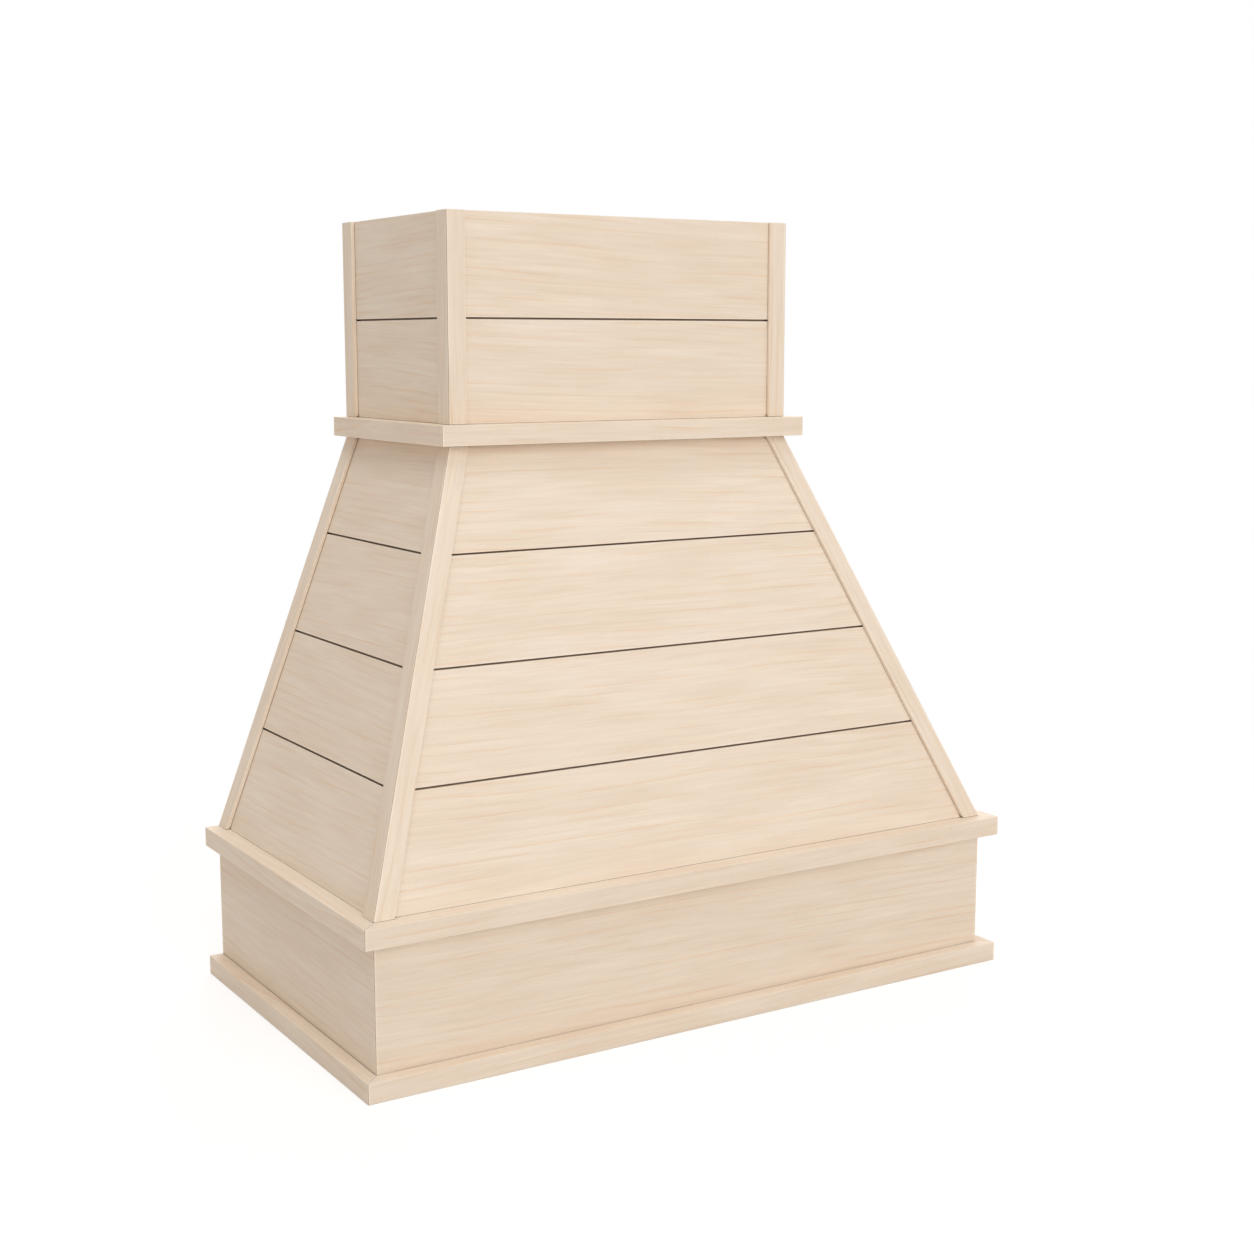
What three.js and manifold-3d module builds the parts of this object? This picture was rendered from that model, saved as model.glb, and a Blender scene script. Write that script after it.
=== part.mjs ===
// A wooden range hood cover: a mitred apron box, a leaning shiplap taper and a shiplap chimney.
// Its back is open and stands against a wall. Trim strips and flat frames mark the joints.
// Millimetres, +Z up. +X is to the right of a person who faces the front, and -Y is towards them.
// The origin is at the middle of the footprint, at the height of the bottom edge.
import * as THREE from 'three';
import { mergeVertices } from 'three/addons/utils/BufferGeometryUtils.js';
import Module from 'manifold-3d';

const wasm = await Module();
wasm.setup();

// Outer form.
const APRON_WIDTH = 914.4;
const APRON_DEPTH = 508;
const APRON_RISE = 181;
const TAPER_RISE = 523.85;
const CHIMNEY_WIDTH = 512;
const CHIMNEY_DEPTH = 314.3;
const CHIMNEY_RISE = 260.35;

// Trim that stands out from the faces.
const TRIM_OVERHANG = 19.05;
const BAND_HEIGHT = 25.4;
const LEDGE_HEIGHT = 25.4;
const LEDGE_STOCK_WIDTH = 63.5;
const COLLAR_HEIGHT = 25.4;
const COLLAR_STOCK_WIDTH = 63.5;

// Skins of the taper and the chimney, from the outside in.
const STRAP_THICKNESS = 5.2;
const FRONT_STRAP_WIDTH = 25.4;
const SIDE_STRAP_WIDTH = 28.6;
const BOARD_THICKNESS = 9.5;
const BACKER_THICKNESS = 12;

// Shiplap.
const TAPER_BOARDS = 4;
const CHIMNEY_BOARDS = 2;
const STARTER_EXTRA = 3; // how much taller the lowest taper board is than the ones above it
const REVEAL = 2.4; // the open groove between two boards
const TONGUE_LENGTH = 10;

// The carcass inside.
const APRON_THICKNESS = 19.05;
const RAIL_THICKNESS = 19.05;
const LINER_RAIL_HEIGHT = 38.1;
const APRON_BACK_RAIL_HEIGHT = 76.2;
const HANGING_RAIL_HEIGHT = 88.9;
const WALL_CLEAT_HEIGHT = 88.9;
const HANGING_BEVEL = Math.PI / 4;
const CHIMNEY_BACK_RAIL_HEIGHT = 76.2;
const CHIMNEY_CLEAT_THICKNESS = 16;
const CHIMNEY_CLEAT_HEIGHT = 25.4;

// Clearances.
const GLUE_LINE = 0.3; // between faces that are glued, screwed or hooked together
const LAP_PLAY = 0.5; // round the tongue of a shiplap joint
const WALL_CLEAT_SIDE_PLAY = 30; // from each end of the wall cleat to the skin beside it

// Heights of the storeys above the bottom edge.
const LEDGE_TOP = APRON_RISE + LEDGE_HEIGHT;
const COLLAR_BOTTOM = LEDGE_TOP + TAPER_RISE;
const COLLAR_TOP = COLLAR_BOTTOM + COLLAR_HEIGHT;
const CHIMNEY_TOP = COLLAR_TOP + CHIMNEY_RISE;
const OVERALL_DEPTH = APRON_DEPTH + TRIM_OVERHANG;

// Depths below the strap faces, measured square to each face.
const BOARD_FACE = STRAP_THICKNESS + GLUE_LINE;
const BACKER_FACE = BOARD_FACE + BOARD_THICKNESS + GLUE_LINE;
const SKIN_DEPTH = BACKER_FACE + BACKER_THICKNESS;

const WOOD = {
  board: { color: 0xe6d3bf, roughness: 0.62, metalness: 0 },
  strap: { color: 0xead8c4, roughness: 0.6, metalness: 0 },
  trim: { color: 0xe4cfb8, roughness: 0.6, metalness: 0 },
  plywood: { color: 0xd9c2a0, roughness: 0.75, metalness: 0 },
  rail: { color: 0xcfb48e, roughness: 0.8, metalness: 0 },
};

// The faces of the cover. Each is turned about the vertical so that it is worked on from its front.
const SIDES = {
  front: { turn: 0, outward: new THREE.Vector3(0, -1, 0) },
  left: { turn: -Math.PI / 2, outward: new THREE.Vector3(-1, 0, 0) },
  right: { turn: Math.PI / 2, outward: new THREE.Vector3(1, 0, 0) },
};
const CORNERS = { left: -1, right: 1 };

// Everything is made against a wall at y = 0 and then moved to stand over the origin.
const body = new THREE.Group();
body.position.y = OVERALL_DEPTH / 2;

// A closed three.js geometry as a solid that can be cut.
function solidOf(geometry) {
  geometry.deleteAttribute('normal');
  geometry.deleteAttribute('uv');
  const merged = mergeVertices(geometry);
  return new wasm.Manifold(new wasm.Mesh({
    numProp: 3,
    vertProperties: merged.attributes.position.array,
    triVerts: new Uint32Array(merged.index.array),
  }));
}

// A cut solid as a named mesh of one kind of wood, with a flat normal on every face.
function meshOf(name, wood, solid) {
  const { vertProperties, triVerts } = solid.getMesh();
  const shared = new THREE.BufferGeometry();
  shared.setAttribute('position', new THREE.BufferAttribute(vertProperties, 3));
  shared.setIndex(new THREE.BufferAttribute(triVerts, 1));
  const geometry = shared.toNonIndexed();
  geometry.computeVertexNormals();
  const mesh = new THREE.Mesh(geometry, new THREE.MeshStandardMaterial(WOOD[wood]));
  mesh.name = name;
  return mesh;
}

// Saws away what lies on the side of the plane that its normal points to.
function saw(solid, plane) {
  const reach = 4 * (APRON_WIDTH + OVERALL_DEPTH);
  const waste = new THREE.BoxGeometry(reach, reach, reach);
  const turn = new THREE.Quaternion().setFromUnitVectors(new THREE.Vector3(0, 0, 1), plane.normal);
  const foot = plane.coplanarPoint(new THREE.Vector3());
  waste.translate(0, 0, reach / 2).applyQuaternion(turn).translate(foot.x, foot.y, foot.z);
  return solid.subtract(solidOf(waste));
}

// The planes of square cuts: what lies above or below a height, or nearer the wall than a clearance.
const above = (height) => new THREE.Plane(new THREE.Vector3(0, 0, 1), -height);
const below = (height) => above(height).negate();
const nearWall = (clearance) => new THREE.Plane(new THREE.Vector3(0, 1, 0), clearance);

// A section of points [depth, height], run along x for longer than any face.
function stock(section) {
  const length = 2 * (APRON_WIDTH + OVERALL_DEPTH);
  const outline = new THREE.Shape(section.map(([depth, height]) => new THREE.Vector2(depth, height)));
  const geometry = new THREE.ExtrudeGeometry(outline, { depth: length, bevelEnabled: false });
  geometry.translate(0, 0, -length / 2);
  const along = new THREE.Vector3(1, 0, 0);
  const inwards = new THREE.Vector3(0, 1, 0);
  const upwards = new THREE.Vector3(0, 0, 1);
  return solidOf(geometry.applyMatrix4(new THREE.Matrix4().makeBasis(inwards, upwards, along)));
}

const plank = (depth, thickness, low, high) => stock([
  [depth, low],
  [depth + thickness, low],
  [depth + thickness, high],
  [depth, high],
]);

// Trims a piece by planes of the whole cover and hangs it in a group of the body.
function fit(group, name, wood, piece, planes) {
  const intoGroup = group.matrix.clone().invert();
  const cut = planes.reduce((solid, plane) => saw(solid, plane.clone().applyMatrix4(intoGroup)), piece);
  group.add(meshOf(name, wood, cut));
}

// A storey is the part of the cover between two outlines, with a face on each side that has a group.
// In a face's group x runs along the face, y runs into the wood and z runs up the slope.
function storey(foot, head) {
  const level = { foot, head, faces: {} };
  for (const [side, { turn, outward }] of Object.entries(SIDES)) {
    const reachOf = ({ width, depth }) => (side === 'front' ? depth : width / 2);
    const lean = Math.atan2(reachOf(foot) - reachOf(head), head.z - foot.z);
    const normal = outward.clone().multiplyScalar(Math.cos(lean)).setZ(Math.sin(lean));
    const group = new THREE.Group();
    group.position.copy(outward).multiplyScalar(reachOf(foot)).setZ(foot.z);
    group.rotation.set(-lean, 0, turn, 'ZXY');
    group.updateMatrix();
    body.add(group);
    level.faces[side] = { group, lean, normal };
  }
  return level;
}

// The plane that is parallel to a face and lies deeper in the wood.
function facePlane(level, side, depth) {
  const { group, normal } = level.faces[side];
  const plane = new THREE.Plane().setFromNormalAndCoplanarPoint(normal, group.position);
  return plane.translate(normal.clone().multiplyScalar(-depth));
}

// A front corner of an outline.
function cornerPoint({ width, depth, z }, corner) {
  return new THREE.Vector3(CORNERS[corner] * width / 2, -depth, z);
}

// The cut through a front corner that leaves half the glue line: a compound mitre on a leaning storey.
function mitrePlane(level, side, corner) {
  const { normal } = level.faces[side];
  const round = level.faces[side === 'front' ? corner : 'front'].normal;
  const across = round.clone().sub(normal).normalize();
  const plane = new THREE.Plane().setFromNormalAndCoplanarPoint(across, cornerPoint(level.foot, corner));
  return plane.translate(across.clone().multiplyScalar(-GLUE_LINE / 2));
}

// What ends a piece that runs the whole length of its face: both mitres, or a mitre and the wall.
function mitredEnds(level, side) {
  if (side === 'front') return [mitrePlane(level, side, 'left'), mitrePlane(level, side, 'right')];
  return [mitrePlane(level, side, side), nearWall(0)];
}

// What ends a piece that fits between the left and right sides, below a depth of skin or board.
const betweenSides = (level, depth) => [facePlane(level, 'left', depth), facePlane(level, 'right', depth)];

// The level cuts of a storey, at what it stands on and at what it carries.
const levelCuts = (level, topSeam) => [below(level.foot.z + GLUE_LINE), above(level.head.z - topSeam)];

// How far up the slope of a face a height lies, on a layer of the given depth.
function upSlope(level, side, height, depth) {
  const { lean } = level.faces[side];
  return (height - level.foot.z + depth * Math.sin(lean)) / Math.cos(lean);
}

// The stretch of slope that is sure to reach past both level cuts of a storey.
function slopeSpan(level, side) {
  return [-SKIN_DEPTH, upSlope(level, side, level.head.z, SKIN_DEPTH) + SKIN_DEPTH];
}

// A ring of three mitred pieces: front, left and right.
function ring(level, name, wood, thickness, height) {
  for (const side of Object.keys(SIDES)) {
    const { group } = level.faces[side];
    fit(group, `${name}_${side}`, wood, plank(0, thickness, 0, height), mitredEnds(level, side));
  }
}

// The section of one shiplap board: a lip in front of the board below, a tongue behind the one above.
function shiplapSection(low, high, lapsBelow, lapsAbove) {
  const back = BOARD_FACE + BOARD_THICKNESS;
  const lipBack = BOARD_FACE + (BOARD_THICKNESS - LAP_PLAY) / 2;
  const tongueFace = lipBack + LAP_PLAY;
  const rebateTop = low + TONGUE_LENGTH - REVEAL + LAP_PLAY;
  const tongueTop = high + TONGUE_LENGTH;
  const plainFoot = [[BOARD_FACE, low], [back, low]];
  const lappedFoot = [[BOARD_FACE, low], [lipBack, low], [lipBack, rebateTop], [back, rebateTop]];
  const plainHead = [[back, high], [BOARD_FACE, high]];
  const lappedHead = [[back, tongueTop], [tongueFace, tongueTop], [tongueFace, high], [BOARD_FACE, high]];
  return [...(lapsBelow ? lappedFoot : plainFoot), ...(lapsAbove ? lappedHead : plainHead)];
}

// The boards of one face, numbered from the lowest. The grooves of the three faces meet at the corners.
function shiplap(level, side, name, count, starterExtra, topSeam) {
  const boardRise = (level.head.z - level.foot.z - starterExtra) / count;
  const grooveHeight = (board) => level.head.z - (count - board) * boardRise;
  const grooveOver = (board) => upSlope(level, side, grooveHeight(board), BOARD_FACE);
  const [bottom, top] = slopeSpan(level, side);
  for (let board = 1; board <= count; board += 1) {
    const lapsBelow = board > 1;
    const lapsAbove = board < count;
    const low = lapsBelow ? grooveOver(board - 1) + REVEAL / 2 : bottom;
    const high = lapsAbove ? grooveOver(board) - REVEAL / 2 : top;
    const piece = stock(shiplapSection(low, high, lapsBelow, lapsAbove));
    const cuts = [...mitredEnds(level, side), ...levelCuts(level, topSeam)];
    fit(level.faces[side].group, `${name}_${side}_${board}`, 'board', piece, cuts);
  }
}

// The plywood panel behind the boards of one face.
function backer(level, side, name, topSeam) {
  const piece = plank(BACKER_FACE, BACKER_THICKNESS, ...slopeSpan(level, side));
  const cuts = [...mitredEnds(level, side), ...levelCuts(level, topSeam)];
  fit(level.faces[side].group, `${name}_${side}`, 'plywood', piece, cuts);
}

// The inner edge of a corner strap: parallel to the corner line, square to the face, one width from it.
function cornerStrapEdge(level, side, corner, width) {
  const start = cornerPoint(level.foot, corner);
  const along = cornerPoint(level.head, corner).sub(start).normalize();
  const { group, normal } = level.faces[side];
  const inwards = new THREE.Vector3().crossVectors(along, normal);
  if (inwards.dot(group.position.clone().sub(start)) < 0) inwards.negate();
  return new THREE.Plane().setFromNormalAndCoplanarPoint(inwards, start.addScaledVector(inwards, width));
}

// The straps of a storey: two on every face, each from the ledge or collar to the top.
function straps(level, name, topSeam) {
  const strap = (side, end, outerCut, innerCut) => {
    const piece = plank(0, STRAP_THICKNESS, ...slopeSpan(level, side));
    const cuts = [outerCut, innerCut, ...levelCuts(level, topSeam)];
    fit(level.faces[side].group, `${name}_${side}_${end}`, 'strap', piece, cuts);
  };
  const wallStrapEdge = nearWall(SIDE_STRAP_WIDTH).negate();
  for (const corner of Object.keys(CORNERS)) {
    const frontEdge = cornerStrapEdge(level, 'front', corner, FRONT_STRAP_WIDTH);
    const sideEdge = cornerStrapEdge(level, corner, corner, SIDE_STRAP_WIDTH);
    strap('front', corner, mitrePlane(level, 'front', corner), frontEdge);
    strap(corner, 'front', mitrePlane(level, corner, corner), sideEdge);
    strap(corner, 'back', nearWall(0), wallStrapEdge);
  }
}

// A storey that is clad: straps over shiplap over plywood.
function cladding(level, name, count, starterExtra, topSeam) {
  for (const side of Object.keys(SIDES)) {
    shiplap(level, side, `${name}_board`, count, starterExtra, topSeam);
    backer(level, side, `${name}_backer`, topSeam);
  }
  straps(level, `${name}_strap`, topSeam);
}

// Rails under the ledge, to which a ventilator insert is screwed from below.
function linerRails(apron) {
  const face = APRON_THICKNESS + GLUE_LINE;
  const top = APRON_RISE - GLUE_LINE;
  const rail = plank(face, RAIL_THICKNESS, top - LINER_RAIL_HEIGHT, top);
  fit(apron.faces.front.group, 'liner_rail_front', 'rail', rail, betweenSides(apron, face));
  const frontEnd = facePlane(apron, 'front', face + RAIL_THICKNESS + GLUE_LINE);
  const wallEnd = nearWall(RAIL_THICKNESS + GLUE_LINE);
  for (const side of Object.keys(CORNERS)) {
    fit(apron.faces[side].group, `liner_rail_${side}`, 'rail', rail, [frontEnd, wallEnd]);
  }
}

// Rails that lie flat on the wall, from side to side. Their section is drawn in y and z.
const onWall = new THREE.Group();
body.add(onWall);

function flatRail(name, low, high, ends) {
  fit(onWall, name, 'rail', plank(-RAIL_THICKNESS, RAIL_THICKNESS, low, high), ends);
}

// A rail with a bevelled lower edge, hooked over a cleat on the wall with the same bevel.
function hangingPair(taper) {
  const top = COLLAR_BOTTOM - GLUE_LINE;
  const hook = top - HANGING_RAIL_HEIGHT;
  const bevelRise = RAIL_THICKNESS * Math.tan(HANGING_BEVEL);
  const railSection = [[-RAIL_THICKNESS, hook + bevelRise], [0, hook], [0, top], [-RAIL_THICKNESS, top]];
  const railEnds = betweenSides(taper, SKIN_DEPTH + GLUE_LINE);
  fit(onWall, 'hanging_rail', 'rail', stock(railSection), railEnds);

  const seat = hook - GLUE_LINE / Math.cos(HANGING_BEVEL);
  const foot = seat - WALL_CLEAT_HEIGHT;
  const cleatSection = [[-RAIL_THICKNESS, foot], [0, foot], [0, seat], [-RAIL_THICKNESS, seat + bevelRise]];
  const { lean } = taper.faces.left;
  const reachAtSeat = APRON_WIDTH / 2 - (seat + bevelRise - LEDGE_TOP) * Math.tan(lean);
  const halfLength = reachAtSeat - SKIN_DEPTH / Math.cos(lean) - WALL_CLEAT_SIDE_PLAY;
  const cleatEnds = [-1, 1].map((hand) => new THREE.Plane(new THREE.Vector3(hand, 0, 0), -halfLength));
  fit(onWall, 'wall_cleat', 'rail', stock(cleatSection), cleatEnds);
}

// Sticks on the collar that locate the sides of the chimney from within.
function chimneyCleats(chimney) {
  const face = SKIN_DEPTH + GLUE_LINE;
  const stick = plank(face, CHIMNEY_CLEAT_THICKNESS, GLUE_LINE, GLUE_LINE + CHIMNEY_CLEAT_HEIGHT);
  for (const side of Object.keys(CORNERS)) {
    const ends = [facePlane(chimney, 'front', face), nearWall(0)];
    fit(chimney.faces[side].group, `chimney_cleat_${side}`, 'rail', stick, ends);
  }
}

// Outlines of the storeys, and the same outlines grown by the overhang of the trim.
const apronOutline = (z) => ({ width: APRON_WIDTH, depth: APRON_DEPTH, z });
const chimneyOutline = (z) => ({ width: CHIMNEY_WIDTH, depth: CHIMNEY_DEPTH, z });
const withTrim = ({ width, depth, z }) => ({
  width: width + 2 * TRIM_OVERHANG,
  depth: depth + TRIM_OVERHANG,
  z,
});

const band = storey(withTrim(apronOutline(0)), withTrim(apronOutline(BAND_HEIGHT)));
const apron = storey(apronOutline(0), apronOutline(APRON_RISE));
const ledge = storey(withTrim(apronOutline(APRON_RISE)), withTrim(apronOutline(LEDGE_TOP)));
const taper = storey(apronOutline(LEDGE_TOP), chimneyOutline(COLLAR_BOTTOM));
const collar = storey(withTrim(chimneyOutline(COLLAR_BOTTOM)), withTrim(chimneyOutline(COLLAR_TOP)));
const chimney = storey(chimneyOutline(COLLAR_TOP), chimneyOutline(CHIMNEY_TOP));

ring(band, 'bottom_band', 'trim', TRIM_OVERHANG - GLUE_LINE, BAND_HEIGHT);
ring(apron, 'apron', 'board', APRON_THICKNESS, APRON_RISE - GLUE_LINE);
ring(ledge, 'ledge', 'trim', LEDGE_STOCK_WIDTH, LEDGE_HEIGHT);
cladding(taper, 'taper', TAPER_BOARDS, STARTER_EXTRA, GLUE_LINE);
ring(collar, 'collar', 'trim', COLLAR_STOCK_WIDTH, COLLAR_HEIGHT);
cladding(chimney, 'chimney', CHIMNEY_BOARDS, 0, 0);

linerRails(apron);
flatRail('apron_back_rail', APRON_RISE - GLUE_LINE - APRON_BACK_RAIL_HEIGHT, APRON_RISE - GLUE_LINE,
  betweenSides(apron, APRON_THICKNESS + GLUE_LINE));
hangingPair(taper);
flatRail('chimney_back_rail', CHIMNEY_TOP - CHIMNEY_BACK_RAIL_HEIGHT, CHIMNEY_TOP,
  betweenSides(chimney, SKIN_DEPTH + GLUE_LINE));
chimneyCleats(chimney);

const cover = new THREE.Group();
cover.add(body);

export default cover;
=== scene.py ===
import math
import random

import bmesh
import bpy
from mathutils import Euler, Matrix, Vector


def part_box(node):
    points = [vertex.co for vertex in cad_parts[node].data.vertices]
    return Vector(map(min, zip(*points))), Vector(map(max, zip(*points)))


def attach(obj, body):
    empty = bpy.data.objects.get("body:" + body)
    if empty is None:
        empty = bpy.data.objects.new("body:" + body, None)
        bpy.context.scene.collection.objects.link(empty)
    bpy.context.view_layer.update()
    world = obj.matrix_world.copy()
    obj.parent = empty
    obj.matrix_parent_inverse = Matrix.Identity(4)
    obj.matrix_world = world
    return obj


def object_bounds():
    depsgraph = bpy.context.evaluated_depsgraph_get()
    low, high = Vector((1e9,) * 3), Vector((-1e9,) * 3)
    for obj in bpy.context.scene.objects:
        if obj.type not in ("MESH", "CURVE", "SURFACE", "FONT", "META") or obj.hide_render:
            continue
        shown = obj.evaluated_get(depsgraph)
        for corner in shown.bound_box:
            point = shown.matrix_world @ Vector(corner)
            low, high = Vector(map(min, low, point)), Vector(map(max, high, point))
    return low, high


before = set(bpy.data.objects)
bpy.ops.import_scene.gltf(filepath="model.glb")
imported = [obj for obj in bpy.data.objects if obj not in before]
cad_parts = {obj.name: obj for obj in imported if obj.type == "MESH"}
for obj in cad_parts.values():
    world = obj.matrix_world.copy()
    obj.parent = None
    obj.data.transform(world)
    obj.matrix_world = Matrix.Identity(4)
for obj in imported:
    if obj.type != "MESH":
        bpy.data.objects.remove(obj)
cad_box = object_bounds()

MM = 0.001
WHITE = (1.0, 1.0, 1.0, 1.0)

# The camera of the photograph, worked out from the corners of the cover that it shows.
CAMERA_PLACE = Vector((-1.28046, -2.10762, 0.85454))
CAMERA_TILT = math.radians(81.2877)  # 90 degrees would look level
CAMERA_TURN = math.radians(-31.947)
CAMERA_LENS = 53.0672  # in millimetres, as the sensor is
SENSOR_WIDTH = 36.0
CAMERA_NEAR = 0.05
CAMERA_FAR = 200.0


class Tree:
    """Adds nodes to a shader tree. Each input is given as a value or as the socket that feeds it."""

    def __init__(self, node_tree):
        self.nodes = node_tree.nodes
        self.links = node_tree.links

    def feed(self, socket, value):
        if isinstance(value, bpy.types.NodeSocket):
            self.links.new(value, socket)
        else:
            socket.default_value = value

    def add(self, kind, inputs=(), **settings):
        node = self.nodes.new("ShaderNode" + kind)
        for name, value in settings.items():
            setattr(node, name, value)
        for key, value in inputs.items() if isinstance(inputs, dict) else enumerate(inputs):
            self.feed(node.inputs[key], value)
        return node

    def maths(self, operation, *values):
        return self.add("Math", values, operation=operation).outputs[0]

    def vector(self, operation, *values, output="Vector"):
        return self.add("VectorMath", values, operation=operation).outputs[output]

    def noise(self, place, rate, detail=2.0, roughness=0.5, output="Fac"):
        """Noise that repeats as often per metre as its rate says, in each of three directions."""
        scaled = self.vector("MULTIPLY", place, rate)
        inputs = {"Vector": scaled, "Scale": 1.0, "Detail": detail, "Roughness": roughness}
        return self.add("TexNoise", inputs).outputs[output]

    def between(self, value, start, full, smooth=True):
        """0 where the value hasn't passed start, and 1 where it has passed full, up or down the scale."""
        kind = "SMOOTHSTEP" if smooth else "LINEAR"
        inputs = {"Value": value, "From Min": start, "From Max": full}
        return self.add("MapRange", inputs, interpolation_type=kind, clamp=True).outputs["Result"]

    def ranged(self, share, at_none, at_full):
        """A number that goes from one to the other as the share goes from 0 to 1."""
        inputs = {"Value": share, "To Min": at_none, "To Max": at_full}
        return self.add("MapRange", inputs).outputs["Result"]

    def mix(self, share, first, second, mode="MIX"):
        node = self.add("Mix", data_type="RGBA", blend_type=mode, clamp_result=False)
        for socket, value in zip((node.inputs[0], node.inputs[6], node.inputs[7]), (share, first, second)):
            self.feed(socket, value)
        return node.outputs[2]

    def tinted(self, colour, share, factor):
        """The colour multiplied by a factor for each of red, green and blue, where share is 1."""
        return self.mix(share, colour, factor, mode="MULTIPLY")

    def white_rays(self):
        """1 for the rays that are to see white: the camera's, and those mirrored or let through."""
        path = self.add("LightPath").outputs
        seen = self.maths("MAXIMUM", path["Is Camera Ray"], path["Is Glossy Ray"])
        return self.maths("MAXIMUM", seen, path["Is Transmission Ray"])

    def end(self, kind, shader):
        """Feeds a shader to the output node of a material or a world."""
        self.links.new(shader, self.add(kind).inputs["Surface"])


def emptied(holder):
    """The tree of a new material or world, with no nodes in it."""
    holder.use_nodes = True
    holder.node_tree.nodes.clear()
    return Tree(holder.node_tree)


def linear(red, green, blue):
    """A colour as it is seen on a screen, 0 to 255, as the linear colour that shaders work with."""
    def decode(level):
        share = level / 255
        return share / 12.92 if share <= 0.04045 else ((share + 0.055) / 1.055) ** 2.4
    return (decode(red), decode(green), decode(blue), 1.0)


# ---------------------------------------------------------------------------------------------- wood

# How often each feature of the figure repeats per metre: along the grain, across it and through it.
WARP_RATE = Vector((2.4, 7.0, 7.0))
WOBBLE_RATE = Vector((18.0, 80.0, 80.0))
RING_FADE_RATE = Vector((6.0, 70.0, 70.0))
LINE_FADE_RATE = RING_FADE_RATE * 1.7
FIBRE_RATE = Vector((9.0, 300.0, 300.0))
STREAK_RATE = Vector((9.0, 150.0, 150.0))
DRIFT_RATE = Vector((6.0, 30.0, 30.0))
FLECK_RATE = Vector((160.0, 2400.0, 2400.0))

NOISE_MIDDLE = (0.5, 0.5, 0.5)
OFF_PITH = (0.0, 1.0, 1.0)  # leaves out what lies along the pith

# How far slow waves and short ones may bend the rings.
WARP_DEPTH = 11.0 * MM
WOBBLE_DEPTH = 1.1 * MM

RING_STRAY = 0.8  # how far a ring may stray from its even place, in rings
STRAY_RATE = 28.0  # how often that repeats, per metre out from the pith
RING_SHARPNESS = 6.0
LINE_PITCH = 2.7 * MM
LINE_SHARPNESS = 3.0

# Where each feature starts to show in its noise, and where it shows in full.
RINGS_SHOW = (0.38, 0.66)
LINES_SHOW = (0.40, 0.62)
TAN_SHOWS = (0.25, 0.75)
FLECKS_SHOW = (0.62, 0.75)
LIGHT_FIBRE_SHOWS = (0.45, 0.72)
DARK_FIBRE_SHOWS = (0.56, 0.30)
LIGHT_STREAKS_SHOW = (0.52, 0.70)
DARK_STREAKS_SHOW = (0.50, 0.32)

# How a board lies in its tree.
LEAN = math.radians(1.6)  # how far the grain may run off a board's length
PITH_SWING = (15, 40)  # degrees between the board's face and the way from its middle to the pith
PITH_DISTANCE = (0.2, 0.45)  # metres from the middle of the board
PITH_START = (2, 30)  # metres along the tree, so that each board has a figure of its own

# The share of open sky within reach at which the painted shade in a corner and in a groove starts to show,
# and shows in full.
PAINTED_SHADE_REACH = 7.0 * MM
PAINTED_CORNER_SHADE_SHOWS = (1.0, 0.35)
PAINTED_GROOVE_SHADE_SHOWS = (0.50, 0.25)

# The same for the painted highlight on an edge, with the share of solid wood within reach behind its
# surface.
EDGE_HIGHLIGHT_REACH = 2.2 * MM
EDGE_HIGHLIGHT_SHOWS = (0.95, 0.45)

# How squarely a face meets a direction where a feature starts to show, and where it shows in full.
END_GRAIN_SHOWS = (0.6, 0.95)  # the way along the grain
PLIES_SHOW = (0.8, 0.5)  # the way out of a plywood sheet, which its edges meet less squarely

PLY_BORDER = (0.46, 0.54)  # where one ply gives way to the next, in plies from the middle of the first

GRAIN_ROUGHNESS = 0.06  # how much rougher or smoother than its piece the grain may be
GRAIN_STRENGTH = 0.25
GRAIN_DEPTH = 0.15 * MM


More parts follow.
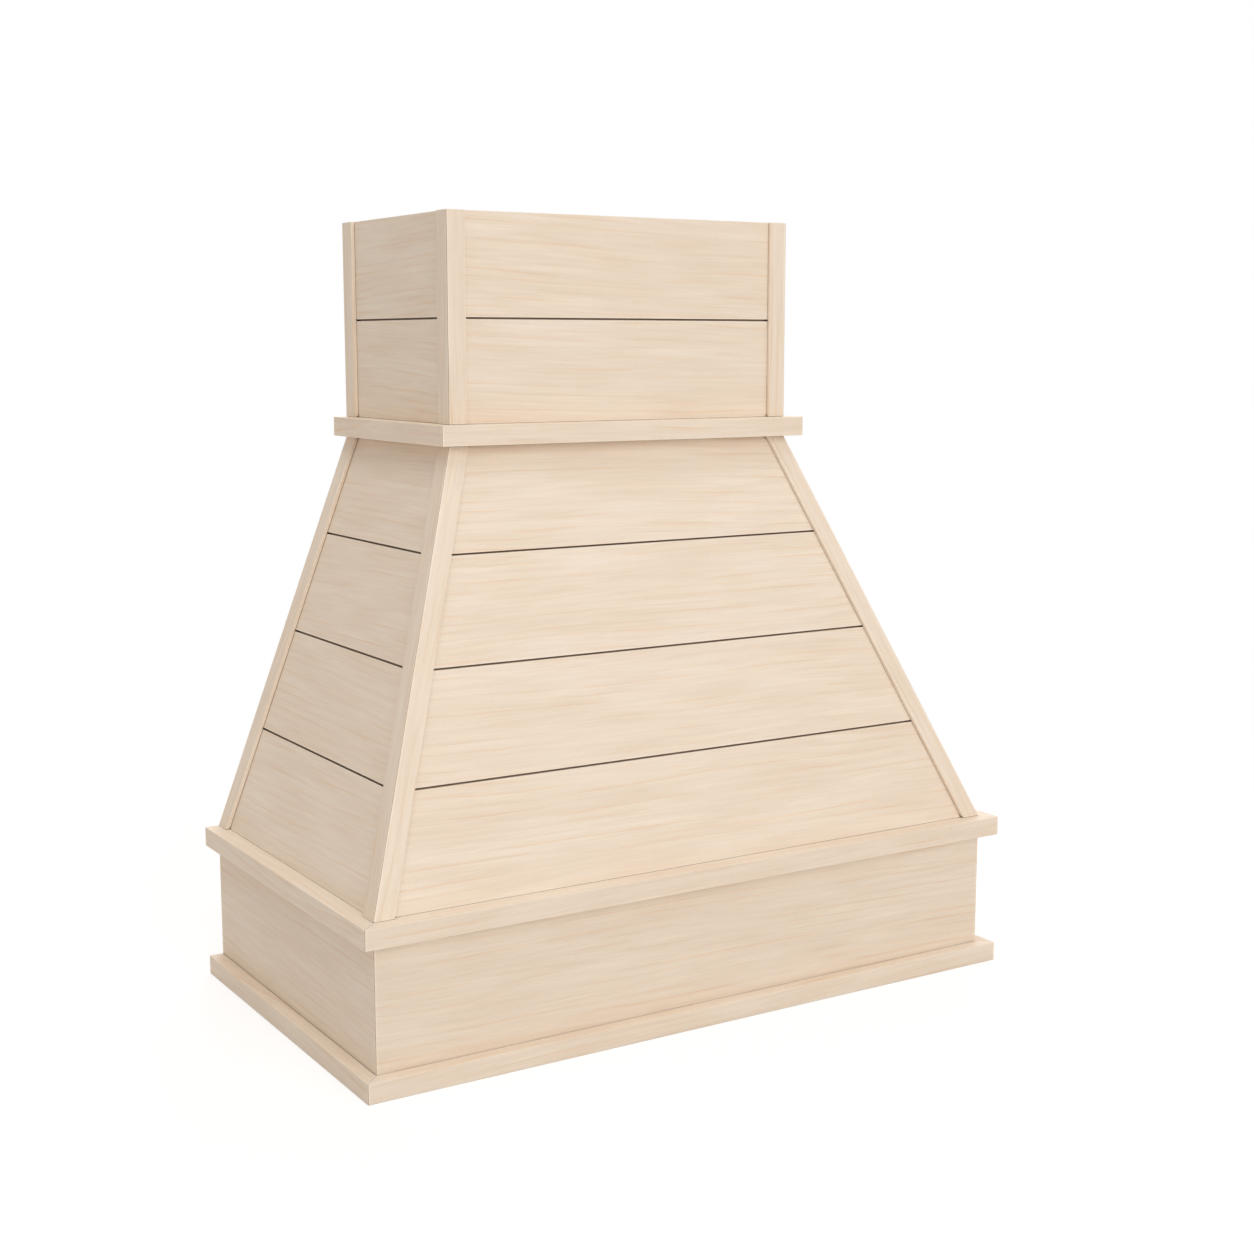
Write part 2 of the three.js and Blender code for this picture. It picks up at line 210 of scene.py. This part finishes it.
def grain_group():
    """The figure of straight-grained wood, round a pith that runs along x. Each output runs from 0 to 1."""
    group = bpy.data.node_groups.new("grain", "ShaderNodeTree")
    face = group.interface
    face.new_socket("Place", in_out="INPUT", socket_type="NodeSocketVector")
    face.new_socket("Pitch", in_out="INPUT", socket_type="NodeSocketFloat")
    for name in ("Rings", "Lines", "Fibre", "Streak", "Drift", "Fleck"):
        face.new_socket(name, in_out="OUTPUT", socket_type="NodeSocketFloat")
    tree = Tree(group)
    given = tree.nodes.new("NodeGroupInput").outputs

    def bent(at, rate, depth):
        bend = tree.noise(at, rate, detail=1.5, output="Color")
        centred = tree.vector("SUBTRACT", bend, NOISE_MIDDLE)
        return tree.vector("ADD", at, tree.vector("MULTIPLY", centred, (0.0, 2 * depth, 2 * depth)))

    wavy = bent(bent(given["Place"], WARP_RATE, WARP_DEPTH), WOBBLE_RATE, WOBBLE_DEPTH)
    radius = tree.vector("LENGTH", tree.vector("MULTIPLY", wavy, OFF_PITH), output="Value")
    stray_inputs = {"W": tree.maths("MULTIPLY", radius, STRAY_RATE), "Scale": 1.0, "Detail": 1.0}
    stray = tree.add("TexNoise", stray_inputs, noise_dimensions="1D").outputs["Fac"]

    ring = tree.maths("DIVIDE", radius, given["Pitch"])
    ring = tree.maths("FRACT", tree.maths("ADD", ring, tree.maths("MULTIPLY", stray, RING_STRAY)))
    ring_fade = tree.between(tree.noise(wavy, RING_FADE_RATE, detail=1.0), *RINGS_SHOW)

    line = tree.maths("FRACT", tree.maths("ADD", tree.maths("DIVIDE", radius, LINE_PITCH), stray))
    line_fade = tree.between(tree.noise(wavy, LINE_FADE_RATE, detail=1.0), *LINES_SHOW)

    out = tree.nodes.new("NodeGroupOutput")
    made = {
        "Rings": tree.maths("MULTIPLY", tree.maths("POWER", ring, RING_SHARPNESS), ring_fade),
        "Lines": tree.maths("MULTIPLY", tree.maths("POWER", line, LINE_SHARPNESS), line_fade),
        "Fibre": tree.noise(wavy, FIBRE_RATE, detail=3.0, roughness=0.62),
        "Streak": tree.noise(wavy, STREAK_RATE),
        "Drift": tree.between(tree.noise(wavy, DRIFT_RATE, detail=1.0), *TAN_SHOWS),
        "Fleck": tree.between(tree.noise(given["Place"], FLECK_RATE, detail=1.0), *FLECKS_SHOW),
    }
    for name, value in made.items():
        tree.links.new(value, out.inputs[name])
    return group


GRAIN = grain_group()


def wood(name, lie, centre, look):
    """The material of one piece: its own stretch of the tree, laid as its grain runs."""
    chance = random.Random(name)
    along, across, out = lie
    tip = Euler((0, chance.uniform(-LEAN, LEAN), chance.uniform(-LEAN, LEAN))).to_matrix()
    to_board = tip @ Matrix((along, across, out))
    swing = math.radians(chance.uniform(*PITH_SWING)) * chance.choice((-1, 1))
    distance = chance.uniform(*PITH_DISTANCE) * chance.choice((-1, 1))
    pith = Vector((chance.uniform(*PITH_START), distance * math.cos(swing), distance * math.sin(swing)))

    material = bpy.data.materials.new(name)
    tree = emptied(material)
    world_place = tree.add("TexCoord").outputs["Object"]
    place = tree.add("Mapping", {
        "Vector": world_place,
        "Rotation": to_board.to_euler("XYZ"),
        "Location": pith - to_board @ centre,
    }).outputs["Vector"]
    grain = tree.add("Group", {"Place": place, "Pitch": look["pitch"]}, node_tree=GRAIN).outputs
    normal = tree.add("NewGeometry").outputs["True Normal"]

    colour = tree.mix(grain["Drift"], look["pale"], look["tan"])
    colour = tree.tinted(colour, 1.0, piece_tone(look, chance))
    for feature, shows, tint in (
        ("Fibre", LIGHT_FIBRE_SHOWS, "light_fibre"),
        ("Fibre", DARK_FIBRE_SHOWS, "dark_fibre"),
        ("Streak", LIGHT_STREAKS_SHOW, "light_streak"),
        ("Streak", DARK_STREAKS_SHOW, "dark_streak"),
    ):
        colour = tree.tinted(colour, tree.between(grain[feature], *shows), look[tint])
    colour = tree.tinted(colour, grain["Lines"], look["line"])
    colour = tree.tinted(colour, grain["Rings"], look["ring"])
    colour = tree.tinted(colour, grain["Fleck"], look["fleck"])
    if "plies" in look:
        colour = plies(tree, colour, world_place, normal, out, centre, look)
    end_grain = tree.between(squareness(tree, normal, along), *END_GRAIN_SHOWS)
    colour = tree.tinted(colour, end_grain, look["end"])
    # Painted shade: corners and narrow grooves are darkened as by the shade that falls in them.
    corner, groove = painted_shade_masks(tree)
    colour = tree.tinted(colour, corner, look["corner"])
    colour = tree.tinted(colour, groove, look["groove"])
    # A painted highlight: the convex edges are made lighter, as if they caught the light.
    colour = tree.tinted(colour, painted_edge_highlights(tree), look["painted_edge_highlight"])

    height = tree.maths("SUBTRACT", grain["Fibre"], grain["Fleck"])
    relief = {"Height": height, "Strength": GRAIN_STRENGTH, "Distance": GRAIN_DEPTH}
    bump = tree.add("Bump", relief).outputs[0]
    middle = look["roughness"]
    rough = tree.ranged(grain["Fibre"], middle + GRAIN_ROUGHNESS, middle - GRAIN_ROUGHNESS)
    shader = tree.add("BsdfPrincipled", {"Base Color": colour, "Roughness": rough, "Normal": bump})
    tree.end("OutputMaterial", shader.outputs[0])
    return material


def piece_tone(look, chance):
    """A piece's own tone: a little lighter and cooler, or darker and warmer, than its neighbours."""
    strength, warmth = look["tone"]
    shift = chance.uniform(-1, 1)
    return tuple(1 + shift * (strength + warmth * step) for step in (-1, 0, 1)) + (1.0,)


def squareness(tree, normal, direction):
    """1 where a face meets a direction squarely, and 0 where it runs along it."""
    return tree.maths("ABSOLUTE", tree.vector("DOT_PRODUCT", normal, direction, output="Value"))


def painted_shade_masks(tree):
    """Masks for painted shade: 1 in a corner and 0 on the open faces, then 1 in a narrow groove and 0
    elsewhere.
    """
    open_sky = tree.add("AmbientOcclusion", {"Distance": PAINTED_SHADE_REACH}, samples=8).outputs["AO"]
    corner = tree.between(open_sky, *PAINTED_CORNER_SHADE_SHOWS, smooth=False)
    groove = tree.between(open_sky, *PAINTED_GROOVE_SHADE_SHOWS, smooth=False)
    return corner, groove


def painted_edge_highlights(tree):
    """1 on the edges that sanding has rounded, where a highlight is painted on, and 0 on the flats."""
    inside = {"samples": 4, "inside": True, "only_local": True}
    solid = tree.add("AmbientOcclusion", {"Distance": EDGE_HIGHLIGHT_REACH}, **inside).outputs["AO"]
    return tree.between(solid, *EDGE_HIGHLIGHT_SHOWS, smooth=False)


def plies(tree, colour, world_place, normal, out, centre, look):
    """The layers that show on a plywood edge: every other one has its grain across, so it looks darker."""
    depth = tree.vector("DOT_PRODUCT", tree.vector("SUBTRACT", world_place, centre), out, output="Value")
    layer = tree.maths("DIVIDE", depth, look["plies"])
    crossed = tree.between(tree.maths("PINGPONG", layer, 1.0), *PLY_BORDER)
    on_edge = tree.between(squareness(tree, normal, out), *PLIES_SHOW)
    return tree.tinted(colour, tree.maths("MULTIPLY", crossed, on_edge), look["cross_ply"])


# The two colours of each wood, what each feature multiplies them by, and the sizes of its figure.
MAPLE = {
    "pale": linear(241, 227, 210),
    "tan": linear(237, 221, 202),
    "tone": (0.010, 0.006),
    "pitch": 9.0 * MM,
    "light_fibre": (1.025, 1.025, 1.02, 1),
    "dark_fibre": (0.975, 0.97, 0.965, 1),
    "light_streak": (1.02, 1.025, 1.03, 1),
    "dark_streak": (0.985, 0.97, 0.955, 1),
    "ring": (0.955, 0.855, 0.74, 1),
    "line": (0.985, 0.95, 0.915, 1),
    "fleck": (0.95, 0.9, 0.86, 1),
    "end": (0.86, 0.8, 0.72, 1),
    # The corner and groove tints are painted shade, darkening where little open sky is within reach.
    "corner": (0.93, 0.94, 0.95, 1),
    "groove": (0.22, 0.13, 0.06, 1),
    # The edge tint is a painted highlight on the convex edges.
    "painted_edge_highlight": (1.08, 1.09, 1.10, 1),
    "roughness": 0.6,
}
PLYWOOD = dict(
    MAPLE,
    pale=linear(232, 208, 176),
    tan=linear(224, 196, 160),
    pitch=16.0 * MM,
    plies=1.34 * MM,
    cross_ply=(0.66, 0.54, 0.42, 1),
)
PINE = dict(
    MAPLE,
    pale=linear(236, 211, 170),
    tan=linear(230, 200, 152),
    tone=(0.03, 0.02),
    pitch=5.0 * MM,
    ring=(0.86, 0.68, 0.46, 1),
)

# The wood for each material slot of the CAD pieces.
LOOKS = {
    "shiplap_wood": MAPLE,
    "strap_wood": MAPLE,
    "trim_wood": MAPLE,
    "apron_wood": MAPLE,
    "plywood": PLYWOOD,
    "rail_wood": PINE,
}

SAME_POINT = 0.01 * MM
SAME_PLANE = math.radians(1)
SHARP_EDGE = math.radians(30)
EASED_EDGE = 0.45 * MM


def lie_of(piece, middle):
    """A piece's directions: along its longest edge, across, and out of its widest face."""
    shape = bmesh.new()
    shape.from_mesh(piece.data)
    bmesh.ops.remove_doubles(shape, verts=shape.verts, dist=SAME_POINT)
    bmesh.ops.dissolve_limit(shape, angle_limit=SAME_PLANE, verts=shape.verts, edges=shape.edges)
    longest = max(shape.edges, key=lambda edge: edge.calc_length())
    widest = max(shape.faces, key=lambda face: face.calc_area())
    along = (longest.verts[1].co - longest.verts[0].co).normalized()
    if max(along, key=abs) < 0:
        along.negate()
    out = widest.normal.copy()
    if out.dot(widest.calc_center_median() - middle) < 0:
        out.negate()
    shape.free()
    across = out.cross(along).normalized()
    return along, across, along.cross(across)


def dress_cad_pieces():
    """Gives every piece its wood, and takes the sharpness off its edges."""
    low, high = cad_box
    middle = (low + high) / 2
    for name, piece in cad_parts.items():
        piece_low, piece_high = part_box(name)
        look = LOOKS[piece.material_slots[0].material.name]
        material = wood(name, lie_of(piece, middle), (piece_low + piece_high) / 2, look)
        for slot in piece.material_slots:
            slot.material = material
        weld = piece.modifiers.new("weld", "WELD")
        weld.merge_threshold = SAME_POINT
        ease = piece.modifiers.new("eased_edges", "BEVEL")
        ease.width = EASED_EDGE
        ease.segments = 2
        ease.limit_method = "ANGLE"
        ease.angle_limit = SHARP_EDGE
        piece.modifiers.new("normals", "WEIGHTED_NORMAL")


dress_cad_pieces()


# -------------------------------------------------------------------------------------------- screws

# Half the width of a head.
WOOD_SCREW = 4.1 * MM
WALL_SCREW = 6.2 * MM

# The shape of a head in shares of half its width: out and up its round side, then its cross recess.
HEAD_SIDE = ((1.0, 0.0), (1.0, 0.18), (0.94, 0.38), (0.80, 0.52), (0.66, 0.58))
CROSS_ARM = 0.46
CROSS_HALF_WIDTH = 0.11
CROSS_DEPTH = 0.40
CROSS_TAPER = 0.62  # the foot of the recess in shares of its mouth

HEAD_POINTS = 32
SCREW_INSET = 70 * MM  # the outer screws of a row from the ends of their rail

# The rail, the way that its heads face, how many there are, and half the width of each.
SCREW_ROWS = (
    ("liner_rail_front", Vector((0, 1, 0)), 4, WOOD_SCREW),
    ("liner_rail_left", Vector((1, 0, 0)), 3, WOOD_SCREW),
    ("liner_rail_right", Vector((-1, 0, 0)), 3, WOOD_SCREW),
    ("chimney_cleat_left", Vector((1, 0, 0)), 2, WOOD_SCREW),
    ("chimney_cleat_right", Vector((-1, 0, 0)), 2, WOOD_SCREW),
    ("wall_cleat", Vector((0, -1, 0)), 4, WALL_SCREW),
    ("apron_back_rail", Vector((0, -1, 0)), 4, WALL_SCREW),
    ("chimney_back_rail", Vector((0, -1, 0)), 3, WALL_SCREW),
)


DULL_ZINC = (0.62, 0.61, 0.58, 1)
BRIGHT_ZINC = (0.80, 0.79, 0.75, 1)
ZINC_ROUGHNESS = (0.28, 0.44)
ZINC_RATE = (900.0, 900.0, 900.0)
ZINC_STRENGTH = 0.2
ZINC_DEPTH = 0.05 * MM


def zinc():
    material = bpy.data.materials.new("zinc")
    tree = emptied(material)
    cloud = tree.noise(tree.add("TexCoord").outputs["Object"], ZINC_RATE, detail=3.0)
    relief = {"Height": cloud, "Strength": ZINC_STRENGTH, "Distance": ZINC_DEPTH}
    shader = tree.add("BsdfPrincipled", {
        "Base Color": tree.mix(cloud, DULL_ZINC, BRIGHT_ZINC),
        "Roughness": tree.ranged(cloud, *ZINC_ROUGHNESS),
        "Normal": tree.add("Bump", relief).outputs[0],
        "Metallic": 1.0,
    })
    tree.end("OutputMaterial", shader.outputs[0])
    return material


def loop_of(shape, points):
    """Adds points to a shape, joined round, and gives them back."""
    made = [shape.verts.new(point) for point in points]
    for one, other in zip(made, made[1:] + made[:1]):
        shape.edges.new((one, other))
    return made


def wall_between(shape, low, high):
    for step in range(len(low)):
        shape.faces.new((low[step - 1], low[step], high[step], high[step - 1]))


def rim_points(radius, level):
    angles = [2 * math.pi * step / HEAD_POINTS for step in range(HEAD_POINTS)]
    return [(radius * math.cos(angle), radius * math.sin(angle), level) for angle in angles]


def cross_points(scale, level):
    """The twelve corners of a cross, anticlockwise."""
    arm, half = CROSS_ARM * scale, CROSS_HALF_WIDTH * scale
    quarter = ((arm, -half), (arm, half), (half, half))
    return [(x, y, level) for turns in range(4) for x, y in quarter_turned(quarter, turns)]


def quarter_turned(points, turns):
    for _ in range(turns):
        points = [(-y, x) for x, y in points]
    return points


def add_screw(shape, radius, place, twist):
    """One pan head with a cross recess. Its seat lies in the plane z = 0 before it is placed."""
    before = set(shape.verts)
    rims = [loop_of(shape, rim_points(radius * share, radius * rise)) for share, rise in HEAD_SIDE]
    for low, high in zip(rims, rims[1:]):
        wall_between(shape, low, high)
    top = radius * HEAD_SIDE[-1][1]
    mouth = loop_of(shape, cross_points(radius, top))
    pit = loop_of(shape, cross_points(radius * CROSS_TAPER, top - radius * CROSS_DEPTH))
    wall_between(shape, mouth, pit)
    shape.faces.new(pit)
    around = [
        shape.edges.get((loop[step - 1], loop[step]))
        for loop in (rims[-1], mouth)
        for step in range(len(loop))
    ]
    bmesh.ops.triangle_fill(shape, use_beauty=True, edges=around)
    added = [vertex for vertex in shape.verts if vertex not in before]
    bmesh.ops.transform(shape, matrix=place @ Matrix.Rotation(twist, 4, "Z"), verts=added)


def screw_row(rail, facing, count, radius, metal):
    """A row of screws along the middle of one face of a rail."""
    low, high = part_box(rail)
    size = high - low
    length = max(range(3), key=lambda axis: size[axis])
    seat = (low + high) / 2
    for axis in range(3):
        if facing[axis]:
            seat[axis] = (high if facing[axis] > 0 else low)[axis]
    turn = facing.to_track_quat("Z", "Y").to_matrix().to_4x4()
    reach = size[length] - 2 * SCREW_INSET
    chance = random.Random(rail)
    shape = bmesh.new()
    for step in range(count):
        spot = seat.copy()
        spot[length] = low[length] + SCREW_INSET + reach * step / (count - 1)
        add_screw(shape, radius, Matrix.Translation(spot) @ turn, chance.uniform(0, math.pi / 2))
    bmesh.ops.recalc_face_normals(shape, faces=shape.faces)
    mesh = bpy.data.meshes.new("screws_" + rail)
    shape.to_mesh(mesh)
    shape.free()
    mesh.materials.append(metal)
    screws = bpy.data.objects.new("screws_" + rail, mesh)
    bpy.context.scene.collection.objects.link(screws)
    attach(screws, "root")


def add_screws():
    metal = zinc()
    for rail, facing, count, radius in SCREW_ROWS:
        screw_row(rail, facing, count, radius, metal)


add_screws()


# --------------------------------------------------------------------------------------------- stage

FLOOR_REACH = 30.0
FLOOR_POINTS = 96
FLOOR_COLOUR = (0.8, 0.79, 0.78, 1)

# What the camera sees of the floor near the cover: a grey under the lamps, and enough light of its own
# to make that white but for the shadow. It turns plain white between two distances from the origin.
SHADE_COLOUR = (0.4, 0.4, 0.4, 1)
SHADE_LIFT = 0.68
SHADE_ENDS = (0.88, 2.2)

FILL_COLOUR = (1.0, 0.93, 0.865, 1)
FILL_STRENGTH = 0.49

# Each lamp's place in degrees, round from straight in front of the cover and up, and its power in watts.
LAMPS = (
    ("front", -5, 24, 78),
    ("left", -50, 72, 70),
    ("back", 145, 30, 80),
)
LAMP_AIM = Vector((0, 0, 0.5))
LAMP_DISTANCE = 5.0
LAMP_SIZE = 3.3


def make_floor():
    bpy.ops.mesh.primitive_circle_add(vertices=FLOOR_POINTS, radius=FLOOR_REACH, fill_type="NGON")
    floor = bpy.context.object
    floor.name = "floor"
    material = bpy.data.materials.new("floor")
    tree = emptied(material)
    plain = tree.add("BsdfDiffuse", {"Color": FLOOR_COLOUR}).outputs[0]
    shade = tree.add("BsdfDiffuse", {"Color": SHADE_COLOUR}).outputs[0]
    lift = tree.add("Emission", {"Color": WHITE, "Strength": SHADE_LIFT}).outputs[0]
    near = tree.add("AddShader", [shade, lift]).outputs[0]
    far = tree.add("Emission", {"Color": WHITE, "Strength": 1.0}).outputs[0]
    distance = tree.vector("LENGTH", tree.add("NewGeometry").outputs["Position"], output="Value")
    white = tree.add("MixShader", [tree.between(distance, *SHADE_ENDS), near, far]).outputs[0]
    mixed = tree.add("MixShader", [tree.white_rays(), plain, white]).outputs[0]
    tree.end("OutputMaterial", mixed)
    floor.data.materials.append(material)


def make_world():
    world = bpy.data.worlds.new("studio")
    tree = emptied(world)
    fill = tree.add("Background", {"Color": FILL_COLOUR, "Strength": FILL_STRENGTH}).outputs[0]
    white = tree.add("Background", {"Color": WHITE, "Strength": 1.0}).outputs[0]
    mixed = tree.add("MixShader", [tree.white_rays(), fill, white]).outputs[0]
    tree.end("OutputWorld", mixed)
    bpy.context.scene.world = world


def make_lamp(name, azimuth, height, power):
    """A soft square lamp that looks at the cover."""
    data = bpy.data.lights.new(name, "AREA")
    data.shape = "SQUARE"
    data.size = LAMP_SIZE
    data.energy = power
    turned, raised = math.radians(azimuth), math.radians(height)
    level = math.cos(raised)
    away = Vector((math.sin(turned) * level, -math.cos(turned) * level, math.sin(raised)))
    lamp = bpy.data.objects.new(name, data)
    lamp.location = LAMP_AIM + away * LAMP_DISTANCE
    lamp.rotation_euler = (-away).to_track_quat("-Z", "Y").to_euler()
    bpy.context.scene.collection.objects.link(lamp)


def make_camera():
    data = bpy.data.cameras.new("camera")
    data.sensor_width = SENSOR_WIDTH
    data.lens = CAMERA_LENS
    data.clip_start = CAMERA_NEAR
    data.clip_end = CAMERA_FAR
    camera = bpy.data.objects.new("camera", data)
    camera.location = CAMERA_PLACE
    camera.rotation_euler = Euler((CAMERA_TILT, 0, CAMERA_TURN))
    bpy.context.scene.collection.objects.link(camera)
    bpy.context.scene.camera = camera


make_floor()
make_world()
for lamp in LAMPS:
    make_lamp(*lamp)
make_camera()
bpy.context.scene.view_settings.view_transform = "Standard"
